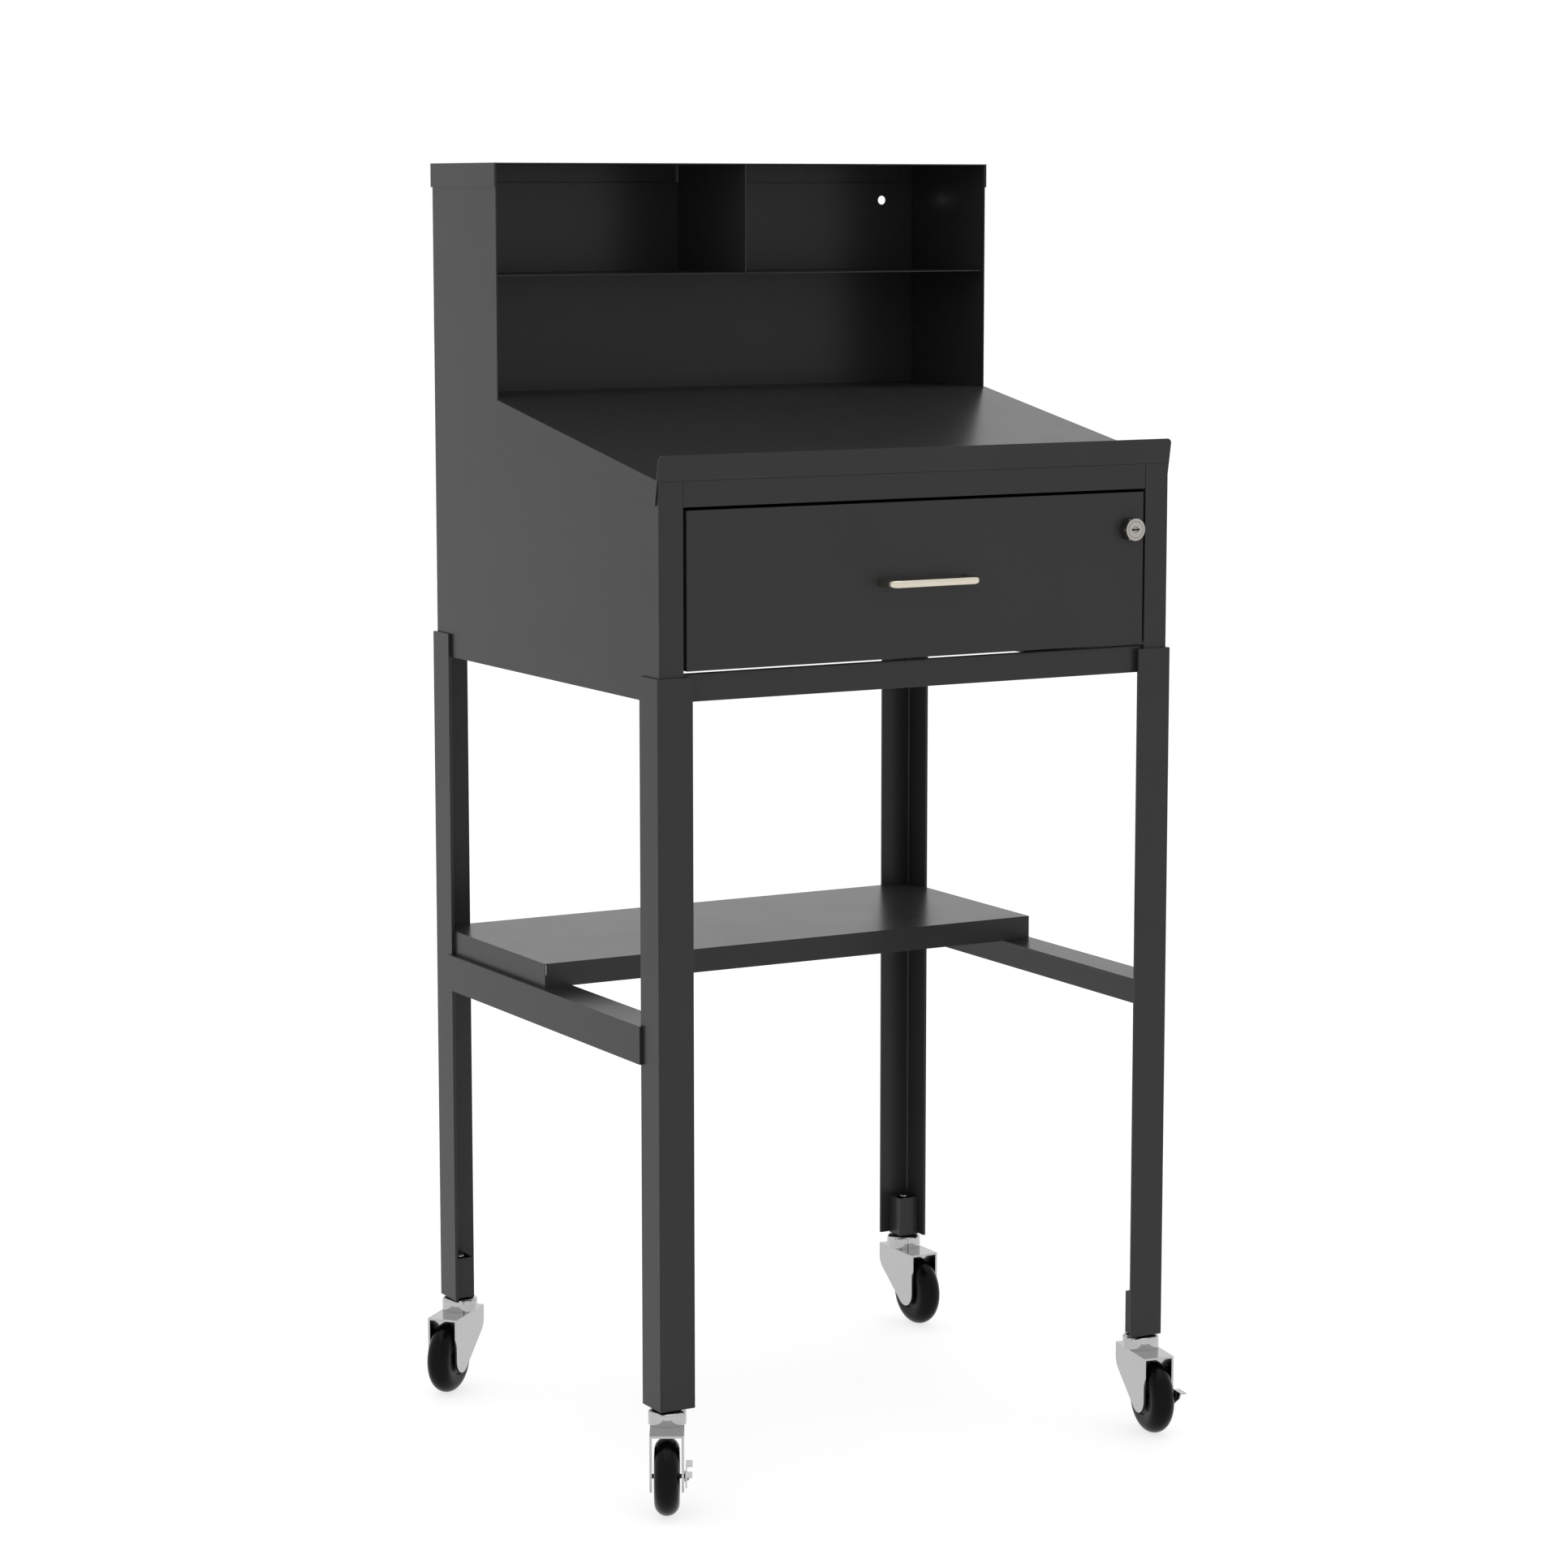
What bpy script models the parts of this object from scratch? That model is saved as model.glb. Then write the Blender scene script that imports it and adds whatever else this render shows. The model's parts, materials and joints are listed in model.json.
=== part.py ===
"""Mobile steel lectern desk: sloped writing top, cubby hood, locking drawer, lower shelf and swivel casters.

Units are metres and +Z is up. The origin is on the floor, under the middle of the cabinet. The user
stands on the -Y side, facing +Y, so the drawer front faces -Y. Every sheet-metal piece is modelled
at its real thickness, and pieces that touch keep a fitting gap between them.
"""

from math import atan
from math import cos
from math import pi
from math import radians
from math import sin

import bmesh
import bpy
from mathutils import Matrix
from mathutils import Vector

MM = 0.001
GAP = 0.3 * MM  # clearance that touching pieces keep
SHEET = 1.2 * MM  # sheet steel of the cabinet, desk top, hood and drawer
SKIM = 0.05 * MM  # keeps joined faces of one piece from lying in one plane
PAST = 5.0 * MM  # how far a cutter runs past what it cuts

# Legs: rolled angles round the cabinet's corners
LEG_OUTER_X = 308.0 * MM
LEG_OUTER_Y = 268.3 * MM
LEG_FLANGE = 40.0 * MM
LEG_THICKNESS = 3.2 * MM
LEG_BOTTOM = 102.9 * MM
LEG_TOP = 856.1 * MM

# Caster sockets: square tubes welded into the feet of the legs
SOCKET_WIDTH = 25.0 * MM
SOCKET_WALL = 2.0 * MM
SOCKET_BOTTOM = 101.9 * MM
SOCKET_TOP = 148.1 * MM
STEM_X = LEG_OUTER_X - LEG_THICKNESS - GAP - SOCKET_WIDTH / 2
STEM_Y = LEG_OUTER_Y - LEG_THICKNESS - GAP - SOCKET_WIDTH / 2

# Stretchers: angles that tie front and rear legs and carry the shelf, notched round the legs' side flanges
STRETCHER_THICKNESS = 3.1 * MM
STRETCHER_HEIGHT = 39.6 * MM
STRETCHER_DEPTH = 40.0 * MM
STRETCHER_TOP = 498.7 * MM
STRETCHER_LAP = 3.7 * MM  # how far each end laps over the leg's flange

# Lower shelf: a tray turned upside down
SHELF_FRONT = 0.0 * MM
SHELF_LIP = 25.9 * MM
SHELF_BOTTOM = STRETCHER_TOP + GAP
SHELF_SLIT = 0.8 * MM
SHELF_SLIT_HEIGHT = 11.0 * MM

# Cabinet shell
CABINET_HALF_WIDTH = LEG_OUTER_X - LEG_THICKNESS - GAP
CABINET_FRONT = -(LEG_OUTER_Y - LEG_THICKNESS - GAP)
CABINET_REAR = 263.9 * MM
CABINET_BOTTOM = 830.7 * MM
STILE_WIDTH = 27.8 * MM
STILE_RETURN = 10.0 * MM
REAR_FLANGE = 15.0 * MM
BACK_TOP = 1347.0 * MM
BACK_HOLE_X = 262.3 * MM
BACK_HOLE_Z = 1327.1 * MM
BACK_HOLE_RADIUS = 5.0 * MM
OPENING_BOTTOM = 859.8 * MM
OPENING_TOP = 1026.1 * MM
SIDE_FLANGE = 38.0 * MM  # turned in along the bottom of each side panel
RAIL_RECESS = 3.5 * MM
RAIL_FLANGE = 15.0 * MM
RAIL_HEM = 10.0 * MM

# Hood and cubbies behind the writing surface
UPPER_FRONT = 104.4 * MM
HOOD_TOP = 1367.3 * MM
HOOD_BAND = 25.6 * MM
HOOD_OVERHANG = 0.5 * MM
CUBBY_SHELF_TOP = 1249.1 * MM
CUBBY_SHELF_SETBACK = 3.5 * MM
DIVIDER_X = -2.9 * MM

# Desk top: level under the cubbies, sloped down to a paper lip in front
DESK_LEVEL = 1118.2 * MM
DESK_SLOPE = radians(9.92)
DESK_FRONT = -265.0 * MM
DESK_SIDE_FLANGE = 25.4 * MM
LIP_HEIGHT = 25.0 * MM
LIP_CORNER = 5.0 * MM

# Drawer
DRAWER_GAP_LEFT = 3.9 * MM
DRAWER_GAP_RIGHT = 2.8 * MM
DRAWER_FACE_BOTTOM = 861.8 * MM
DRAWER_FACE_TOP = 1022.8 * MM
DRAWER_FACE_RETURN = 12.0 * MM
DRAWER_HALF_WIDTH = 246.5 * MM
DRAWER_BOTTOM = 866.0 * MM
DRAWER_TOP = 1000.0 * MM
DRAWER_REAR = 190.0 * MM

# Telescopic slides, two channels each side and a carrier between
SLIDE_FRONT = -243.0 * MM
SLIDE_REAR = 214.0 * MM
SLIDE_LEVEL = 915.0 * MM
SLIDE_SHEET = 1.2 * MM
SLIDE_WIDTH = 12.4 * MM
OUTER_SLIDE = (22.5 * MM, 0.0 * MM, 9.2 * MM)  # half height, web start, flange depth
MIDDLE_SLIDE = (19.5 * MM, 2.6 * MM, 7.6 * MM)
INNER_SLIDE = (15.5 * MM, 5.8 * MM, 6.6 * MM)
RUNNER_HALF_HEIGHT = 25.0 * MM
RUNNER_REAR = 255.0 * MM

# Handle: a flat-faced bow pull
HANDLE_LEVEL = 941.1 * MM
HANDLE_X = 2.5 * MM
HANDLE_PITCH = 101.6 * MM
HANDLE_REACH = 30.7 * MM
HANDLE_HEIGHT = 8.2 * MM
HANDLE_DEPTH = 8.0 * MM
HANDLE_EDGE = 2.9 * MM
HANDLE_BEND = 12.0 * MM
HANDLE_BEND_STEPS = 8
SCREW_RADIUS = 2.0 * MM
SCREW_HEAD_RADIUS = 4.2 * MM
SCREW_HEAD = 2.6 * MM
SCREW_GRIP = 12.0 * MM

# Cam lock
LOCK_X = 257.0 * MM
LOCK_Z = 984.0 * MM
LOCK_PROUD = 11.5 * MM
LOCK_FACE_RADIUS = 11.8 * MM
LOCK_FACE = 2.2 * MM
LOCK_BODY_RADIUS = 9.5 * MM
LOCK_LENGTH = 26.0 * MM
NUT_CORNER_RADIUS = 12.9 * MM
NUT_THICKNESS = 6.2 * MM
PLUG_RADIUS = 8.65 * MM
PLUG_HEAD = 1.6 * MM
PLUG_BODY_RADIUS = 6.0 * MM
PLUG_TAIL_RADIUS = 3.7 * MM
PLUG_TAIL = 3.5 * MM
KEYWAY_WIDTH = 9.8 * MM
KEYWAY_HEIGHT = 1.9 * MM
KEYWAY_DEPTH = 5.0 * MM
KEY_DIMPLE_RADIUS = 3.5 * MM
KEY_DIMPLE_DEPTH = 0.5 * MM
CAM_THICKNESS = 2.0 * MM
CAM_REACH = 33.0 * MM
CAM_HALF_WIDTH = 7.0 * MM

# Casters
WHEEL_RADIUS = 40.0 * MM
WHEEL_WIDTH = 26.0 * MM
WHEEL_BORE = 2.8 * MM
HUB_RADIUS = 9.0 * MM
HUB_RECESS_RADIUS = 19.0 * MM
HUB_RIM_RADIUS = 20.0 * MM
HUB_RECESS = 2.5 * MM
CASTER_TRAIL = 31.8 * MM
FORK_TOP = 87.0 * MM
FORK_SHEET = 2.4 * MM
FORK_HALF_WIDTH = 17.55 * MM
FORK_BACK = 26.9 * MM
FORK_FRONT = 48.6 * MM
FORK_TOE_RADIUS = 16.8 * MM
FORK_HEEL_DROP = 16.0 * MM
FORK_HEEL_KNEE = (-14.4 * MM, 54.0 * MM)
FORK_TOE_STEPS = 18
FORK_HOLE = 5.9 * MM
CUP_RADIUS = 19.75 * MM
CUP_HEIGHT = 13.9 * MM
CUP_ROUND = 3.2 * MM
STEM_RADIUS = 5.2 * MM
STEM_TOP = 149.5 * MM
RIVET_RADIUS = 8.0 * MM
RIVET_HEIGHT = 3.0 * MM
AXLE_RADIUS = 2.4 * MM
AXLE_HOLE = 2.7 * MM
AXLE_SKIN = 0.8 * MM  # plate left outside a blind axle hole
SWIVELS = {  # heading of each caster's trail, from +X towards +Y
    "front_left": radians(-118.5),
    "front_right": radians(-99.9),
    "rear_left": radians(-138.9),
    "rear_right": radians(-90.2),
}
BRAKED = ("front_left", "front_right")

# Side brakes on the front casters
BRAKE_INNER = 19.0 * MM
BRAKE_SHEET = 1.5 * MM
BRAKE_PEDAL_OUT = 26.0 * MM
BRAKE_PEDALS = ((14.8 * MM, 31.8 * MM), (-24.3 * MM, -5.3 * MM))  # front and rear, from the axle
BRAKE_PEDAL_HEIGHT = 9.3 * MM
BRAKE_ARM_HEIGHT = 7.2 * MM
BRAKE_BELLY = (12.0 * MM, -9.0 * MM)
BRAKE_SPACER_RADIUS = 5.4 * MM
BRAKE_RIVET_RADIUS = 5.2 * MM
BRAKE_RIVET = 1.8 * MM

WHEEL_SEGMENTS = 32
ROUND_SEGMENTS = 24
BEND_STEPS = 5

MATERIALS = {  # base colour, roughness, metallic
    "charcoal_powder_coat": ((0.030, 0.030, 0.030, 1.0), 0.35, 0.0),
    "zinc_plate": ((0.48, 0.48, 0.48, 1.0), 0.25, 0.9),
    "slide_steel": ((0.42, 0.43, 0.44, 1.0), 0.34, 0.9),
    "polished_metal": ((0.68, 0.65, 0.59, 1.0), 0.25, 0.8),
    "black_rubber": ((0.014, 0.014, 0.014, 1.0), 0.5, 0.0),
    "blackened_steel": ((0.020, 0.020, 0.020, 1.0), 0.4, 0.3),
}


def clear_scene():
    for obj in list(bpy.data.objects):
        bpy.data.objects.remove(obj, do_unlink=True)


def make_material(name):
    colour, roughness, metallic = MATERIALS[name]
    material = bpy.data.materials.new(name)
    material.use_nodes = True
    shader = material.node_tree.nodes["Principled BSDF"]
    shader.inputs["Base Color"].default_value = colour
    shader.inputs["Roughness"].default_value = roughness
    shader.inputs["Metallic"].default_value = metallic
    return material


def add_object(name, bm, material=None):
    """A new object from a bmesh, its faces turned to point out."""
    bmesh.ops.recalc_face_normals(bm, faces=bm.faces)
    mesh = bpy.data.meshes.new(name)
    bm.to_mesh(mesh)
    bm.free()
    obj = bpy.data.objects.new(name, mesh)
    bpy.context.scene.collection.objects.link(obj)
    if material:
        mesh.materials.append(bpy.data.materials.get(material) or make_material(material))
    return obj


def prism(name, outline, low, high, frame=None, material=None):
    """The outline, in the frame's XY plane, extruded along the frame's Z from low to high."""
    frame = frame or Matrix.Identity(4)
    bm = bmesh.new()
    lower = [bm.verts.new(frame @ Vector((x, y, low))) for x, y in outline]
    upper = [bm.verts.new(frame @ Vector((x, y, high))) for x, y in outline]
    bm.faces.new(lower)
    bm.faces.new(upper)
    for i in range(len(outline)):
        j = (i + 1) % len(outline)
        bm.faces.new((lower[i], lower[j], upper[j], upper[i]))
    return add_object(name, bm, material)


def box(name, low, high, material=None, frame=None):
    """A box between two corners given in any order."""
    x0, x1 = sorted((low[0], high[0]))
    y0, y1 = sorted((low[1], high[1]))
    z0, z1 = sorted((low[2], high[2]))
    return prism(name, [(x0, y0), (x1, y0), (x1, y1), (x0, y1)], z0, z1, frame, material)


def turned(name, profile, frame=None, material=None, segments=ROUND_SEGMENTS):
    """A closed (radius, height) profile turned about the frame's Z. A zero radius closes a flat end."""
    frame = frame or Matrix.Identity(4)
    bm = bmesh.new()
    rings = []
    for radius, height in profile:
        angles = [2 * pi * k / segments for k in range(segments)] if radius > 0 else []
        rings.append([bm.verts.new(frame @ Vector((radius * cos(a), radius * sin(a), height)))
                      for a in angles])
    for i, ring in enumerate(rings):
        other = rings[(i + 1) % len(rings)]
        if ring and other:
            for k in range(segments):
                j = (k + 1) % segments
                bm.faces.new((ring[k], ring[j], other[j], other[k]))
        elif ring or other:
            bm.faces.new(ring or other)
    return add_object(name, bm, material)


def combine(target, tools, operation):
    """Joins or cuts the target with each tool, keeps the resulting mesh and removes the tools."""
    for tool in tools:
        modifier = target.modifiers.new(operation.title(), "BOOLEAN")
        modifier.operation = operation
        modifier.solver = "EXACT"
        modifier.object = tool
    bpy.context.view_layer.update()
    graph = bpy.context.evaluated_depsgraph_get()
    mesh = bpy.data.meshes.new_from_object(target.evaluated_get(graph))
    mesh.name = target.name
    target.modifiers.clear()
    target.data = mesh
    for tool in tools:
        bpy.data.objects.remove(tool, do_unlink=True)
    return target


def join(target, *tools):
    return combine(target, tools, "UNION")


def cut(target, *tools):
    return combine(target, tools, "DIFFERENCE")


def smooth(obj, angle=radians(35)):
    obj.data.shade_smooth()
    obj.data.set_sharp_from_angle(angle=angle)
    return obj


def arc(centre, radius, start, stop, steps=BEND_STEPS):
    """Points along an arc, from the start angle to the stop angle."""
    turn = (stop - start) / steps
    return [(centre[0] + radius * cos(start + turn * i), centre[1] + radius * sin(start + turn * i))
            for i in range(steps + 1)]


def frame_of(x_axis, y_axis, z_axis, origin=(0, 0, 0)):
    """A frame from its three axes and its origin."""
    frame = Matrix((x_axis, y_axis, z_axis)).transposed().to_4x4()
    frame.translation = Vector(origin)
    return frame


ALONG_X = frame_of((0, 1, 0), (0, 0, 1), (1, 0, 0))  # outlines in Y and Z
ALONG_Y = frame_of((0, 0, 1), (1, 0, 0), (0, 1, 0))  # outlines in Z and X
SLOPE = frame_of(
    (0, -cos(DESK_SLOPE), -sin(DESK_SLOPE)),
    (1, 0, 0),
    (0, -sin(DESK_SLOPE), cos(DESK_SLOPE)),
    (0, UPPER_FRONT, DESK_LEVEL),
)  # x runs down the slope, y is +X, z is the slope's normal
SLOPE_LENGTH = (UPPER_FRONT - DESK_FRONT) / cos(DESK_SLOPE)


def slope_height(y, below=0.0):
    """Height of the sloped surface at y, or of a plane that far below it."""
    return DESK_LEVEL - (UPPER_FRONT - y) * sin(DESK_SLOPE) / cos(DESK_SLOPE) - below / cos(DESK_SLOPE)


def side_sign(side):
    return -1 if side == "left" else 1


def corner_signs(corner):
    depth, side = corner.split("_")
    return side_sign(side), (-1 if depth == "front" else 1)


# ---------------------------------------------------------------- stand


def make_leg(corner):
    sx, sy = corner_signs(corner)
    outer_x = sx * LEG_OUTER_X
    outer_y = sy * LEG_OUTER_Y
    flange_x = outer_x - sx * LEG_FLANGE
    flange_y = outer_y - sy * LEG_FLANGE
    inner_x = outer_x - sx * LEG_THICKNESS
    inner_y = outer_y - sy * LEG_THICKNESS
    outline = [
        (outer_x, outer_y), (flange_x, outer_y), (flange_x, inner_y),
        (inner_x, inner_y), (inner_x, flange_y), (outer_x, flange_y),
    ]
    return prism("leg_" + corner, outline, LEG_BOTTOM, LEG_TOP, material="charcoal_powder_coat")


def make_socket(corner):
    sx, sy = corner_signs(corner)
    half = SOCKET_WIDTH / 2
    hollow = half - SOCKET_WALL
    x = sx * STEM_X
    y = sy * STEM_Y
    tube = box("caster_socket_" + corner, (x - half, y - half, SOCKET_BOTTOM),
               (x + half, y + half, SOCKET_TOP), "charcoal_powder_coat")
    bore = box("bore", (x - hollow, y - hollow, SOCKET_BOTTOM - PAST),
               (x + hollow, y + hollow, SOCKET_TOP + PAST))
    return cut(tube, bore)


def make_stretcher(side):
    s = side_sign(side)
    inner = s * (LEG_OUTER_X + GAP)
    outer = inner + s * STRETCHER_THICKNESS
    reach = outer - s * STRETCHER_DEPTH
    within = s * CABINET_HALF_WIDTH
    between_legs = LEG_OUTER_Y - LEG_FLANGE - GAP
    end = between_legs + GAP + STRETCHER_LAP
    inside_legs = LEG_OUTER_Y - LEG_THICKNESS - GAP
    outline = [
        (outer, -end), (outer, end), (inner, end), (inner, between_legs), (within, between_legs),
        (within, inside_legs), (reach, inside_legs), (reach, -inside_legs), (within, -inside_legs),
        (within, -between_legs), (inner, -between_legs), (inner, -end),
    ]
    top = prism("stretcher_" + side, outline, STRETCHER_TOP - STRETCHER_THICKNESS, STRETCHER_TOP,
                material="charcoal_powder_coat")
    flange = box("flange", (inner + s * SKIM, -end + SKIM, STRETCHER_TOP - STRETCHER_HEIGHT),
                 (outer - s * SKIM, end - SKIM, STRETCHER_TOP - STRETCHER_THICKNESS / 2))
    return join(top, flange)


def make_lower_shelf():
    half = CABINET_HALF_WIDTH
    rear = LEG_OUTER_Y - LEG_THICKNESS - GAP
    top = SHELF_BOTTOM + SHELF_LIP
    shelf = box("lower_shelf", (-half, SHELF_FRONT, SHELF_BOTTOM), (half, rear, top), "charcoal_powder_coat")
    hollow = box("hollow", (-half + SHEET, SHELF_FRONT + SHEET, SHELF_BOTTOM - PAST),
                 (half - SHEET, rear - SHEET, top - SHEET))
    slits = []
    for s in (-1, 1):
        x = s * (half - SHEET)
        slits.append(box("slit", (x, SHELF_FRONT - PAST, top - SHELF_SLIT_HEIGHT - SHEET),
                         (x - s * SHELF_SLIT, SHELF_FRONT + SHEET * 2, top - SHEET - SKIM)))
    return cut(shelf, hollow, *slits)


# ---------------------------------------------------------------- cabinet


def above_slope(name):
    """A cutter that clears the space in front of the cubbies, above the writing surface."""
    far = CABINET_FRONT - PAST
    under = SHEET + GAP
    outline = [
        (far, slope_height(far, under)), (UPPER_FRONT, slope_height(UPPER_FRONT, under)),
        (UPPER_FRONT, HOOD_TOP + PAST), (far, HOOD_TOP + PAST),
    ]
    return prism(name, outline, -CABINET_HALF_WIDTH - PAST, CABINET_HALF_WIDTH + PAST, ALONG_X)


def make_side_panel(side):
    """One folded sheet: the side, the front stile with its return, and the rear flange."""
    s = side_sign(side)
    outer = s * CABINET_HALF_WIDTH
    inner = outer - s * SHEET
    stile = outer - s * STILE_WIDTH
    front = CABINET_FRONT
    rear = CABINET_REAR
    outline = [
        (outer, front), (outer, rear), (outer - s * REAR_FLANGE, rear),
        (outer - s * REAR_FLANGE, rear - SHEET), (inner, rear - SHEET), (inner, front + SHEET),
        (stile + s * SHEET, front + SHEET), (stile + s * SHEET, front + STILE_RETURN),
        (stile, front + STILE_RETURN), (stile, front),
    ]
    top = HOOD_TOP - SHEET - GAP
    panel = prism("side_panel_" + side, outline, CABINET_BOTTOM, top, material="charcoal_powder_coat")
    flange_front = front + RAIL_RECESS + RAIL_FLANGE + GAP
    flange_rear = rear - SHEET * 2 - GAP * 2
    flange = box("flange", (outer - s * SKIM, flange_front, CABINET_BOTTOM + SKIM),
                 (outer - s * SIDE_FLANGE, flange_rear, CABINET_BOTTOM + SHEET + SKIM))
    return join(cut(panel, above_slope("slope")), flange)


def make_back_panel():
    half = CABINET_HALF_WIDTH - SHEET - GAP
    outside = CABINET_REAR - SHEET - GAP
    panel = box("back_panel", (-half, outside - SHEET, CABINET_BOTTOM), (half, outside, BACK_TOP),
                "charcoal_powder_coat")
    frame = ALONG_Y.copy()
    frame.translation = Vector((BACK_HOLE_X, 0, BACK_HOLE_Z))
    outline = arc((0, 0), BACK_HOLE_RADIUS, 0, 2 * pi, ROUND_SEGMENTS)[:-1]
    return cut(panel, prism("hole", outline, outside - PAST, outside + PAST, frame))


def rail_half_width():
    return CABINET_HALF_WIDTH - STILE_WIDTH - GAP


def make_bottom_rail():
    """Set back from the stiles, with a rounded hem along its top."""
    front = CABINET_FRONT + RAIL_RECESS
    hem = SHEET * 2
    outline = [
        (front, CABINET_BOTTOM), (front + RAIL_FLANGE, CABINET_BOTTOM),
        (front + RAIL_FLANGE, CABINET_BOTTOM + SHEET), (front + SHEET, CABINET_BOTTOM + SHEET),
        (front + SHEET, OPENING_BOTTOM - RAIL_HEM), (front + hem, OPENING_BOTTOM - RAIL_HEM),
    ]
    outline += arc((front + hem, OPENING_BOTTOM - hem), hem, pi / 2, pi)
    half = rail_half_width()
    return prism("bottom_rail", outline, -half, half, ALONG_X, "charcoal_powder_coat")


def make_top_rail():
    front = CABINET_FRONT
    under = SHEET + GAP
    outline = [
        (front, OPENING_TOP), (front + RAIL_FLANGE, OPENING_TOP), (front + RAIL_FLANGE, OPENING_TOP + SHEET),
        (front + SHEET, OPENING_TOP + SHEET), (front + SHEET, slope_height(front + SHEET, under)),
        (front, slope_height(front, under)),
    ]
    half = rail_half_width()
    return prism("top_rail", outline, -half, half, ALONG_X, "charcoal_powder_coat")


def make_desk_sheet(half):
    """The level and sloped sheet, notched at the rear to pass between the side panels."""
    bend = SHEET * (1 - cos(DESK_SLOPE)) / sin(DESK_SLOPE)
    end = SLOPE @ Vector((SLOPE_LENGTH - SHEET / 2, 0, 0))
    end_below = SLOPE @ Vector((SLOPE_LENGTH - SHEET / 2, 0, -SHEET))
    rear = CABINET_REAR - SHEET * 2 - GAP * 2
    outline = [
        (rear, DESK_LEVEL), (UPPER_FRONT, DESK_LEVEL), (end.y, end.z), (end_below.y, end_below.z),
        (UPPER_FRONT + bend, DESK_LEVEL - SHEET), (rear, DESK_LEVEL - SHEET),
    ]
    sheet = prism("desk_top", outline, -half, half, ALONG_X, "charcoal_powder_coat")
    inside = CABINET_HALF_WIDTH - SHEET - GAP
    notches = [
        box("notch", (s * inside, UPPER_FRONT - GAP, DESK_LEVEL - PAST),
            (s * (half + PAST), rear + PAST, DESK_LEVEL + PAST))
        for s in (-1, 1)
    ]
    return cut(sheet, *notches)


def make_desk_top():
    outside = CABINET_HALF_WIDTH + GAP + SHEET
    sheet = make_desk_sheet(outside - SKIM)
    flanges = [
        box("flange", (SHEET, s * (outside - SHEET), -DESK_SIDE_FLANGE),
            (SLOPE_LENGTH - SKIM, s * outside, -SHEET / 2), frame=SLOPE)
        for s in (-1, 1)
    ]
    across = frame_of(SLOPE.col[1].to_3d(), SLOPE.col[2].to_3d(), SLOPE.col[0].to_3d(), SLOPE.translation)
    shoulder = outside - LIP_CORNER
    outline = [(-outside, -SHEET - SKIM), (outside, -SHEET - SKIM)]
    outline += arc((shoulder, LIP_HEIGHT - LIP_CORNER), LIP_CORNER, 0, pi / 2)
    outline += arc((-shoulder, LIP_HEIGHT - LIP_CORNER), LIP_CORNER, pi / 2, pi)
    lip = prism("lip", outline, SLOPE_LENGTH - SHEET, SLOPE_LENGTH, across)
    return join(sheet, lip, *flanges)


def make_hood():
    outer = CABINET_HALF_WIDTH + GAP + SHEET
    inner = outer - SHEET
    front = UPPER_FRONT - HOOD_OVERHANG
    rear = CABINET_REAR + GAP + SHEET
    outline = [
        (-outer, front), (-inner, front), (-inner, rear - SHEET), (inner, rear - SHEET),
        (inner, front), (outer, front), (outer, rear), (-outer, rear),
    ]
    band = prism("hood", outline, HOOD_TOP - HOOD_BAND, HOOD_TOP - SHEET / 2, material="charcoal_powder_coat")
    top = box("top", (-outer + SKIM, front + SKIM, HOOD_TOP - SHEET), (outer - SKIM, rear - SKIM, HOOD_TOP))
    return join(band, top)


def make_cubby_shelf():
    half = CABINET_HALF_WIDTH - SHEET - GAP
    rear = CABINET_REAR - SHEET * 2 - GAP * 2
    return box("cubby_shelf", (-half, UPPER_FRONT + CUBBY_SHELF_SETBACK, CUBBY_SHELF_TOP - SHEET),
               (half, rear, CUBBY_SHELF_TOP), "charcoal_powder_coat")


def make_cubby_divider():
    rear = CABINET_REAR - SHEET * 2 - GAP * 2
    return box("cubby_divider", (DIVIDER_X - SHEET / 2, UPPER_FRONT, CUBBY_SHELF_TOP + GAP),
               (DIVIDER_X + SHEET / 2, rear, HOOD_TOP - SHEET - GAP), "charcoal_powder_coat")


# ---------------------------------------------------------------- drawer


def channel(name, s, web, depth, half_height, low, high, thickness, material):
    """A C channel along Y. Its web starts at web and its flanges reach depth from there, towards s."""
    back = web + s * thickness
    lips = web + s * depth
    z0 = SLIDE_LEVEL - half_height
    z1 = SLIDE_LEVEL + half_height
    outline = [
        (z0, web), (z0, lips), (z0 + thickness, lips), (z0 + thickness, back),
        (z1 - thickness, back), (z1 - thickness, lips), (z1, lips), (z1, web),
    ]
    return prism(name, outline, low, high, ALONG_Y, material)


def make_runner_channel(side):
    """The channel that spaces the slide off the side panel."""
    s = side_sign(side)
    web = s * (DRAWER_HALF_WIDTH + GAP + SLIDE_WIDTH + GAP)
    depth = CABINET_HALF_WIDTH - SHEET - GAP - abs(web)
    return channel("runner_channel_" + side, s, web, depth, RUNNER_HALF_HEIGHT, SLIDE_FRONT, RUNNER_REAR,
                   SHEET, "charcoal_powder_coat")


def make_slides(side):
    """Cabinet, middle and drawer members of one telescopic slide."""
    s = side_sign(side)
    fixed = s * (DRAWER_HALF_WIDTH + GAP + SLIDE_WIDTH)
    half, start, depth = OUTER_SLIDE
    channel("slide_outer_" + side, -s, fixed - s * start, depth, half, SLIDE_FRONT, SLIDE_REAR,
            SLIDE_SHEET, "slide_steel")
    half, start, depth = MIDDLE_SLIDE
    channel("slide_middle_" + side, -s, fixed - s * start, depth, half, SLIDE_FRONT, SLIDE_REAR,
            SLIDE_SHEET, "slide_steel")
    half, start, depth = INNER_SLIDE
    channel("slide_inner_" + side, s, s * (DRAWER_HALF_WIDTH + GAP), depth, half, SLIDE_FRONT, DRAWER_REAR,
            SLIDE_SHEET, "slide_steel")


def handle_positions():
    return [(side, HANDLE_X + side_sign(side) * HANDLE_PITCH / 2) for side in ("left", "right")]


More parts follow.
